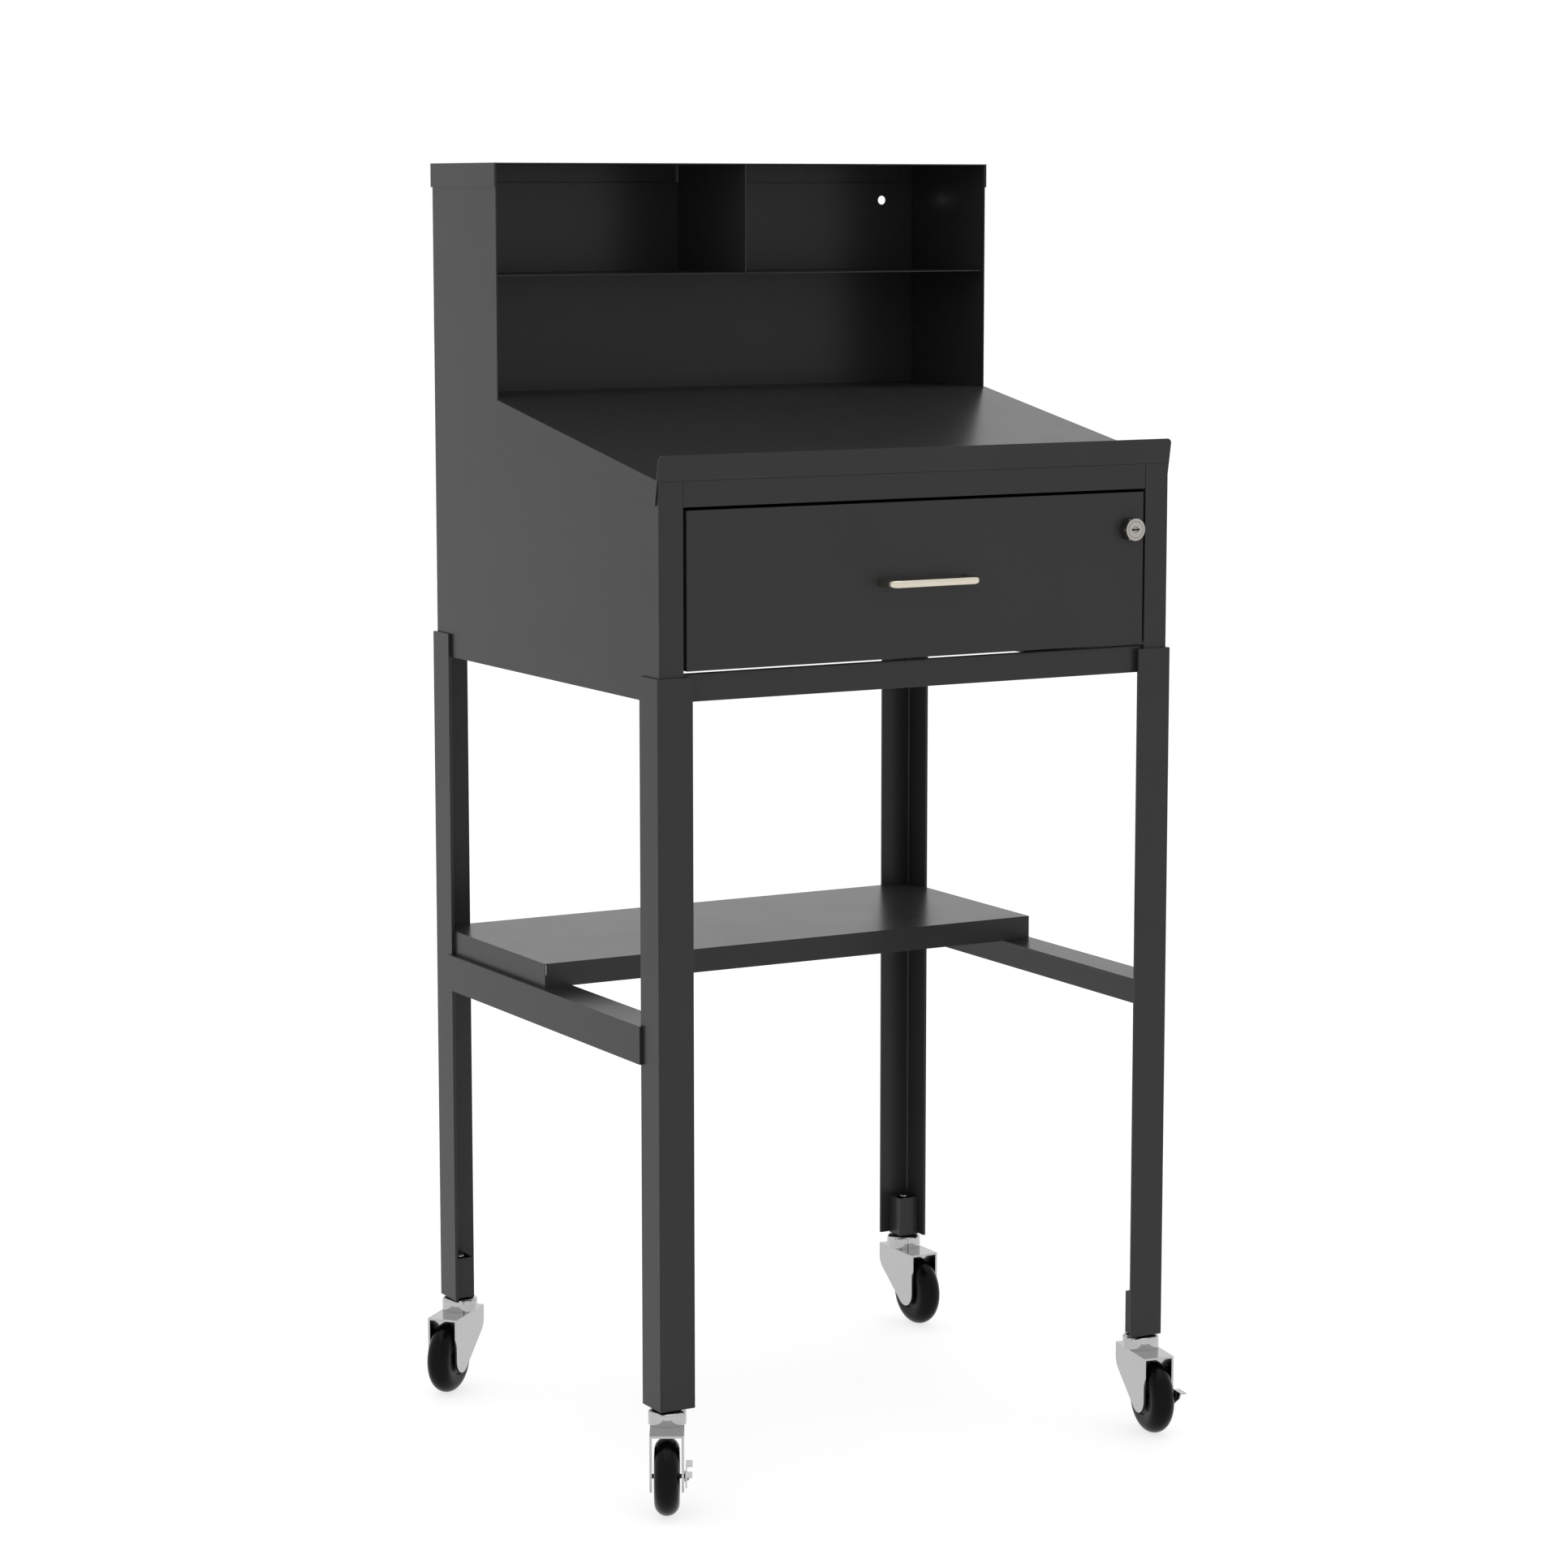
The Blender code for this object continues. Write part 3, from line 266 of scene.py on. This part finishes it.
def black_rubber():
    """Moulded black rubber of the wheels."""
    s = Shader("black_rubber")
    s.set(Metallic=0.0, IOR=1.19)
    grain = s.noise(900.0, 3.0)
    bloom = s.spread(s.noise(35.0, 3.0), 0.0, 1.0)
    colour = s.mix(bloom, (0.0016, 0.0016, 0.0016), (0.0028, 0.0028, 0.0028))
    roughness = s.sum(s.spread(grain, 0.20, 0.24), s.spread(s.noise(45.0, 2.0), 0.0, 0.03))
    return s.finish(colour, roughness, s.bump(grain, 0.004 * MM, 0.3))


def blackened_steel():
    """Black oxide on the turned axles, with fine turning marks round them."""
    s = Shader("blackened_steel")
    s.set(Metallic=0.5)
    marks = s.noise(1200.0, 2.0)
    colour = s.mix(s.spread(marks, 0.0, 1.0), (0.012, 0.012, 0.012), (0.022, 0.022, 0.022))
    return s.finish(colour, s.spread(s.noise(500.0, 2.0), 0.28, 0.36), s.bump(marks, 0.003 * MM, 0.3))


def painted_recess_shade():
    """Painted shade: a near-black colour that stands for the shadow inside the keyway and the drive of the
    screws.
    """
    s = Shader("painted_recess_shade")
    s.set(Metallic=0.6)
    colour = s.mix(s.spread(s.noise(700.0, 2.0), 0.0, 1.0), (0.010, 0.010, 0.010), (0.020, 0.020, 0.020))
    return s.finish(colour, s.spread(s.noise(400.0, 2.0), 0.45, 0.6))


def floor_white():
    """A pale studio floor, lit so that it meets the white surroundings without a line."""
    s = Shader("floor_white")
    s.set(Emission_Color=(1.0, 1.0, 1.0, 1.0), Emission_Strength=0.72)
    colour = s.mix(s.spread(s.noise(3.0, 2.0), 0.0, 1.0), (0.29, 0.29, 0.29), (0.31, 0.31, 0.31))
    return s.finish(colour, s.spread(s.noise(5.0, 2.0), 0.78, 0.86))


MATERIALS = {
    "charcoal_powder_coat": powder_coat(),
    "zinc_plate": zinc_plate(),
    "slide_steel": slide_steel(),
    "polished_metal": lock_nickel(),
    "black_rubber": black_rubber(),
    "blackened_steel": blackened_steel(),
}
HANDLE_METAL = satin_nickel()
# Painted shade for the hollows of the keyway, the key ring and the screw drives
RECESS_SHADE = painted_recess_shade()
SLOTS = {row["node"]: row["material_slot"] for row in frame["record"]["subparts"]}


# ---------------------------------------------------------------- mesh tools


def new_object(name, mesh, material):
    obj = bpy.data.objects.new(name, mesh)
    bpy.context.scene.collection.objects.link(obj)
    mesh.materials.clear()
    mesh.materials.append(material)
    return obj


def smooth(obj, angle):
    obj.data.shade_smooth()
    obj.data.set_sharp_from_angle(angle=angle)
    return obj


def baked(obj):
    """Applies an object's modifiers."""
    bpy.context.view_layer.update()
    graph = bpy.context.evaluated_depsgraph_get()
    mesh = bpy.data.meshes.new_from_object(obj.evaluated_get(graph))
    obj.modifiers.clear()
    obj.data = mesh
    return obj


def ride_with(obj, node):
    """Puts a piece on the body of a CAD node."""
    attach(obj, frame["nodes"][node]["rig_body"])
    return obj


def stand_for(obj, node):
    """Puts a piece in the place of a CAD node."""
    ride_with(obj, node)
    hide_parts(node)
    return obj


def face_depth(face, edge):
    """How far a face reaches from one of its edges."""
    start = edge.verts[0].co
    along = (edge.verts[1].co - start).normalized()
    return max(((v.co - start) - along * (v.co - start).dot(along)).length for v in face.verts)


def round_edges(bm, fold, rim, hollow):
    """Weighs each sharp edge by its rounding: folds between wide faces, hollow folds and cut rims."""
    weight = bm.edges.layers.float.new("bevel_weight_edge")
    widest = max(fold, rim, hollow)
    for edge in bm.edges:
        if len(edge.link_faces) != 2 or edge.calc_face_angle(0.0) < SHARP_ANGLE:
            continue
        wide = all(face_depth(face, edge) > NARROW_FACE for face in edge.link_faces)
        size = rim
        if wide:
            size = fold if edge.is_convex else hollow
        edge[weight] = size / widest
    return widest


def refined(node, fold=FOLD_RADIUS, rim=RIM_RADIUS, hollow=RIM_RADIUS):
    """A copy of a CAD node with rounded folds and rims, in place of the node."""
    bm = bmesh.new()
    bm.from_mesh(frame["nodes"][node].data)
    bmesh.ops.remove_doubles(bm, verts=bm.verts, dist=0.002 * MM)
    bmesh.ops.dissolve_limit(bm, angle_limit=radians(0.6), verts=bm.verts, edges=bm.edges, delimit=set())
    widest = round_edges(bm, fold, rim, hollow)
    mesh = bpy.data.meshes.new(node + "_finish")
    bm.to_mesh(mesh)
    bm.free()
    obj = new_object(node + "_finish", mesh, MATERIALS[SLOTS[node]])
    bevel = obj.modifiers.new("Rounding", "BEVEL")
    bevel.limit_method = "WEIGHT"
    bevel.width = widest
    bevel.segments = 3
    bevel.use_clamp_overlap = True
    baked(obj)
    smooth(obj, SMOOTH_SHEET)
    normals = obj.modifiers.new("Normals", "WEIGHTED_NORMAL")
    normals.keep_sharp = True
    baked(obj)
    return stand_for(obj, node)


def fillet(points, radii, steps):
    """A profile whose corners are rounded to the given radii. The ends stay as they are."""
    result = [points[0]]
    for before, corner, after, radius in zip(points, points[1:], points[2:], radii[1:]):
        here = Vector(corner)
        back = Vector(before) - here
        ahead = Vector(after) - here
        if radius <= 0:
            result.append(corner)
            continue
        half = back.angle(ahead) / 2
        reach = min(radius / tan(half), back.length * 0.499, ahead.length * 0.499)
        start = here + back.normalized() * reach
        end = here + ahead.normalized() * reach
        centre = here + (back.normalized() + ahead.normalized()).normalized() * (reach / cos(half))
        first = atan2(start.y - centre.y, start.x - centre.x)
        turn = (atan2(end.y - centre.y, end.x - centre.x) - first + pi) % (2 * pi) - pi
        size = (start - centre).length
        for i in range(steps + 1):
            angle = first + turn * i / steps
            result.append((centre.x + size * cos(angle), centre.y + size * sin(angle)))
    result.append(points[-1])
    return result


def turned(name, profile, place, material, segments):
    """A (radius, height) profile turned about the z axis of place. A zero radius closes an end."""
    bm = bmesh.new()
    rings = []
    for radius, height in profile:
        if radius <= 0:
            rings.append([bm.verts.new(place @ Vector((0, 0, height)))])
            continue
        ring = []
        for k in range(segments):
            a = 2 * pi * k / segments
            ring.append(bm.verts.new(place @ Vector((radius * cos(a), radius * sin(a), height))))
        rings.append(ring)
    closed = profile[0][0] > 0
    pairs = zip(rings, rings[1:] + rings[:1]) if closed else zip(rings, rings[1:])
    for ring, other in pairs:
        for k in range(segments):
            j = (k + 1) % segments
            near = [ring[k % len(ring)], ring[j % len(ring)]]
            far = [other[j % len(other)], other[k % len(other)]]
            bm.faces.new(list(dict.fromkeys(near + far)))
    bmesh.ops.recalc_face_normals(bm, faces=bm.faces)
    mesh = bpy.data.meshes.new(name)
    bm.to_mesh(mesh)
    bm.free()
    return smooth(new_object(name, mesh, material), SMOOTH_TURNED)


def placed(origin, z_axis, x_axis):
    """A frame at origin from its z axis and a direction that x leans to."""
    z = Vector(z_axis).normalized()
    y = z.cross(Vector(x_axis)).normalized()
    x = y.cross(z)
    result = Matrix((x, y, z)).transposed().to_4x4()
    result.translation = Vector(origin)
    return result


def joint(name):
    return next(j for j in frame["joints"] if j["name"] == name)


def size_of(node):
    low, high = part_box(node)
    return high - low


# ---------------------------------------------------------------- casters


def caster_axes(corner):
    """Stem centre, axle centre and the axle's direction."""
    stem = Vector(joint("swivel_%s_turn" % corner)["pos_m"])
    roll = joint("wheel_%s_roll" % corner)
    return stem, Vector(roll["pos_m"]), Vector(roll["axis"])


def make_wheel(corner):
    """A rubber wheel with a half-round tread, whose hub lies in a shallow dish on both sides."""
    stem, axle, direction = caster_axes(corner)
    tread = size_of("caster_wheel_" + corner).z / 2 - WHEEL_HALF_WIDTH
    half = WHEEL_HALF_WIDTH
    side = [
        (WHEEL_BORE, half), (BEARING_RADIUS, half), (DISH_INNER, half - DISH_DEPTH),
        (DISH_OUTER, half - DISH_DEPTH), (DISH_EDGE, half - 0.1 * MM), (tread, half),
    ]
    rounded = fillet(side, [0, 0.5 * MM, 0.8 * MM, 1.2 * MM, 0.8 * MM, 0], 3)[:-1]
    profile = [(r, -y) for r, y in rounded]
    steps = 30
    for i in range(steps + 1):
        angle = pi * i / steps - pi / 2
        profile.append((tread + half * cos(angle), half * sin(angle)))
    profile += rounded[::-1]
    place = placed(axle, direction, (0, 0, 1))
    wheel = turned("wheel_%s_tyre" % corner, profile, place, MATERIALS["black_rubber"], 96)
    return stand_for(wheel, "caster_wheel_" + corner)


def make_cup(corner):
    """The upper race, with a round shoulder. It sits down on the fork."""
    low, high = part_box("caster_cup_" + corner)
    radius = (high.x - low.x) / 2
    height = high.z - low.z
    points = [(CUP_BORE, -CUP_SEAT), (radius, -CUP_SEAT), (radius, height), (CUP_BORE, height)]
    profile = fillet(points, [0, CUP_HEEL, CUP_SHOULDER, 0], 8)
    place = Matrix.Translation(((low.x + high.x) / 2, (low.y + high.y) / 2, low.z))
    cup = turned("cup_%s_race" % corner, profile, place, MATERIALS["zinc_plate"], 96)
    return stand_for(cup, "caster_cup_" + corner)


def make_stem(corner):
    """The kingpin, from its riveted head under the fork to its end in the socket."""
    low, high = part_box("caster_stem_" + corner)
    head = (high.x - low.x) / 2
    top = high.z - low.z
    points = [
        (0, 0), (head, 0), (head, STEM_HEAD), (STEM_RADIUS, STEM_HEAD), (STEM_RADIUS, top), (0, top),
    ]
    profile = fillet(points, [0, 1.2 * MM, 0.2 * MM, 0, 0.9 * MM, 0], 4)
    place = Matrix.Translation(((low.x + high.x) / 2, (low.y + high.y) / 2, low.z))
    pin = turned("stem_%s_kingpin" % corner, profile, place, MATERIALS["zinc_plate"], 48)
    return stand_for(pin, "caster_stem_" + corner)


def make_casters():
    for corner in CORNERS:
        make_wheel(corner)
        make_cup(corner)
        make_stem(corner)
        refined("caster_fork_" + corner, 0.8 * MM, 0.25 * MM)
        refined("caster_axle_" + corner, 0.4 * MM, 0.3 * MM)
        if corner.startswith("front"):
            refined("brake_lever_" + corner, 0.6 * MM, 0.2 * MM)


# ---------------------------------------------------------------- drawer hardware


def skinned(name, rings, material, closed=False):
    """A body through rings of equal length, its ends capped, or joined end to start."""
    bm = bmesh.new()
    loops = [[bm.verts.new(point) for point in ring] for ring in rings]
    if not closed:
        bm.faces.new(loops[0])
        bm.faces.new(loops[-1])
    pairs = list(zip(loops, loops[1:]))
    if closed:
        pairs.append((loops[-1], loops[0]))
    for ring, other in pairs:
        for k in range(len(ring)):
            j = (k + 1) % len(ring)
            bm.faces.new((ring[k], ring[j], other[j], other[k]))
    bmesh.ops.recalc_face_normals(bm, faces=bm.faces)
    mesh = bpy.data.meshes.new(name)
    bm.to_mesh(mesh)
    bm.free()
    return smooth(new_object(name, mesh, material), SMOOTH_TURNED)


def rounded_rectangle(half_width, half_height, radius, steps=6):
    """The outline of a rectangle with round corners, as (across, up) points."""
    outline = []
    for corner, (across, up) in enumerate(((1, 1), (-1, 1), (-1, -1), (1, -1))):
        for k in range(steps + 1):
            angle = (corner + k / steps) * pi / 2
            outline.append((across * (half_width - radius) + radius * cos(angle),
                            up * (half_height - radius) + radius * sin(angle)))
    return outline


def make_handle():
    """The bow pull: one rod of rounded section, bent back at both ends, its feet rounded off."""
    low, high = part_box("drawer_handle")
    middle = (low + high) / 2
    half_depth = HANDLE_DEPTH / 2
    half_height = (high.z - low.z) / 2
    steps = 14
    stations = [(inset * MM, high.y - rise * MM, 0.0) for inset, rise in HANDLE_FOOT]
    stations += [(0.0, low.y + HANDLE_BEND, k / steps * pi / 2) for k in range(steps + 1)]
    rings = []
    for side in (-1, 1):
        bend_x = middle.x + side * ((high.x - low.x) / 2 - HANDLE_BEND)
        for inset, y, angle in stations[::-side]:
            outward = Vector((side * cos(angle), -sin(angle), 0))
            centre = Vector((bend_x, y, middle.z)) + outward * (HANDLE_BEND - half_depth)
            section = rounded_rectangle(half_depth - inset, half_height - inset, HANDLE_EDGE - inset)
            rings.append([centre + outward * across + Vector((0, 0, up)) for across, up in section])
    return stand_for(skinned("handle_bow", rings, HANDLE_METAL), "drawer_handle")


def shade_plate(name, size, centre, depth):
    """A thin near-black plate facing along Y, painted shade that stands for the shadow in a recess. Its size
    and depth are in mm.
    """
    half = [size[0] / 2 * MM, depth / 2 * MM, size[1] / 2 * MM]
    rings = []
    for y in (-1, 1):
        rings.append([(centre[0] + x * half[0], centre[1] + y * half[1], centre[2] + z * half[2])
                      for x, z in ((-1, -1), (1, -1), (1, 1), (-1, 1))])
    return skinned(name, rings, RECESS_SHADE)


def make_screw(side):
    """A pan-head screw that holds the handle. The cross recess in its head is painted shade: two near-black
    plates.
    """
    node = "handle_screw_" + side
    low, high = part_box(node)
    centre = (low + high) / 2
    head = (high.x - low.x) / 2
    length = high.y - low.y
    neck = length - SCREW_HEAD
    place = placed((centre.x, low.y, centre.z), (0, 1, 0), (1, 0, 0))
    points = [(0, 0), (SCREW_RADIUS, 0), (SCREW_RADIUS, neck), (head, neck), (head, length), (0, length)]
    profile = fillet(points, [0, 0.5 * MM, 0, 0.3 * MM, 1.4 * MM, 0], 5)
    screw = turned(node + "_body", profile, place, MATERIALS["zinc_plate"], 40)
    stand_for(screw, node)
    # Painted shade: two crossed near-black plates on the head stand for the shadow in the drive
    for name, size in (("level", SCREW_SLOT), ("upright", SCREW_SLOT[::-1])):
        place = (centre.x, high.y - 0.015 * MM, centre.z)
        ride_with(shade_plate("%s_recess_%s" % (node, name), size, place, 0.05), node)
    return screw


def hexagon(corner, clip, steps=96):
    """A hexagon's outline, its corners cut back to the clip radius."""
    outline = []
    for k in range(steps):
        angle = 2 * pi * k / steps
        radius = min(corner * cos(pi / 6) / cos((angle % (pi / 3)) - pi / 6), clip)
        outline.append((radius * cos(angle), radius * sin(angle)))
    return outline


def make_nut():
    """The lock's hexagonal nut, its corners turned down in front and behind."""
    low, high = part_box("lock_nut")
    centre = (low + high) / 2
    corner = (high.x - low.x) / 2
    thickness = high.y - low.y
    place = placed((centre.x, low.y, centre.z), (0, 1, 0), (1, 0, 0))
    turned_face = corner * NUT_CLIP
    levels = [
        (0.0, turned_face), (NUT_BEVEL, corner), (thickness - NUT_BEVEL, corner), (thickness, turned_face),
    ]
    rings = [[place @ Vector((x, y, depth)) for x, y in hexagon(corner, clip)] for depth, clip in levels]
    count = len(rings[0])
    for depth in (thickness, 0.0):
        angles = [2 * pi * k / count for k in range(count)]
        rings.append([place @ Vector((NUT_BORE * cos(a), NUT_BORE * sin(a), depth)) for a in angles])
    nut = skinned("lock_nut_hex", rings, MATERIALS["polished_metal"], closed=True)
    return stand_for(nut, "lock_nut")


def make_keyhole():
    """Painted shade: a near-black plate for the keyway, and a near-black ring for the shaded rim of the
    round dimple about it.
    """
    low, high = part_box("lock_plug")
    middle = (low + high) / 2
    sunk = low.y + KEYWAY_DEPTH
    ride_with(shade_plate("lock_keyway_shade", KEYWAY, (middle.x, sunk, middle.z), 0.04), "lock_plug")
    inner, outer = KEY_RING
    ring = [(inner, 0), (outer, 0), (outer, KEY_RING_DEPTH), (inner, KEY_RING_DEPTH)]
    place = placed((middle.x, sunk + 0.01 * MM, middle.z), (0, -1, 0), (1, 0, 0))
    ride_with(turned("lock_key_ring_shade", ring, place, RECESS_SHADE, 48), "lock_plug")


def make_lock():
    refined("lock_housing", 0.3 * MM, 0.25 * MM)
    refined("lock_plug", 0.3 * MM, 0.12 * MM)
    refined("lock_cam", 0.4 * MM, 0.2 * MM)
    make_nut()
    make_keyhole()


# ---------------------------------------------------------------- sheet metal


def make_sheet_metal():
    for corner in CORNERS:
        refined("leg_" + corner, LEG_FOLD, RIM_RADIUS, LEG_HOLLOW)
        refined("caster_socket_" + corner, SOCKET_FOLD, RIM_RADIUS)
    for side in SIDES:
        refined("stretcher_" + side, LEG_FOLD, RIM_RADIUS, STRETCHER_HOLLOW)
        refined("side_panel_" + side)
        refined("runner_channel_" + side)
        for member in ("outer", "middle", "inner"):
            refined("slide_%s_%s" % (member, side), SLIDE_FOLD, 0.25 * MM)
    for node in ("lower_shelf", "back_panel", "bottom_rail", "top_rail", "desk_top", "hood", "cubby_shelf",
                 "cubby_divider", "drawer_front", "drawer_box"):
        refined(node)


# ---------------------------------------------------------------- stage


def make_floor():
    bm = bmesh.new()
    bmesh.ops.create_grid(bm, x_segments=8, y_segments=8, size=FLOOR_SIZE / 2)
    mesh = bpy.data.meshes.new("floor")
    bm.to_mesh(mesh)
    bm.free()
    floor = new_object("floor", mesh, floor_white())


def make_world():
    world = bpy.data.worlds.new("studio")
    bpy.context.scene.world = world
    world.use_nodes = True
    background = world.node_tree.nodes["Background"]
    background.inputs["Color"].default_value = (1.0, 1.0, 1.0, 1.0)
    background.inputs["Strength"].default_value = 1.0


def area_light(name, place, target, size, power):
    light = bpy.data.lights.new(name, "AREA")
    light.shape = "RECTANGLE"
    light.size, light.size_y = size
    light.energy = power
    obj = bpy.data.objects.new(name, light)
    bpy.context.scene.collection.objects.link(obj)
    obj.location = place
    obj.rotation_euler = (Vector(target) - Vector(place)).to_track_quat("-Z", "Y").to_euler()
    return obj


def make_lights():
    area_light("overhead", (0.0, 0.0, 4.5), (0, 0, 0), (4.0, 4.0), 40.0)


def make_camera():
    camera = bpy.data.cameras.new("camera")
    camera.lens = LENS
    camera.sensor_width = SENSOR
    camera.clip_end = 200.0
    obj = bpy.data.objects.new("camera", camera)
    bpy.context.scene.collection.objects.link(obj)
    obj.location = CAMERA_PLACE
    obj.rotation_euler = (radians(90 - CAMERA_PITCH), 0, radians(-CAMERA_YAW))
    bpy.context.scene.camera = obj


bpy.context.scene.view_settings.view_transform = "Standard"
make_camera()
make_world()
make_lights()
make_floor()
make_sheet_metal()
make_casters()
make_handle()
make_screw("left")
make_screw("right")
make_lock()
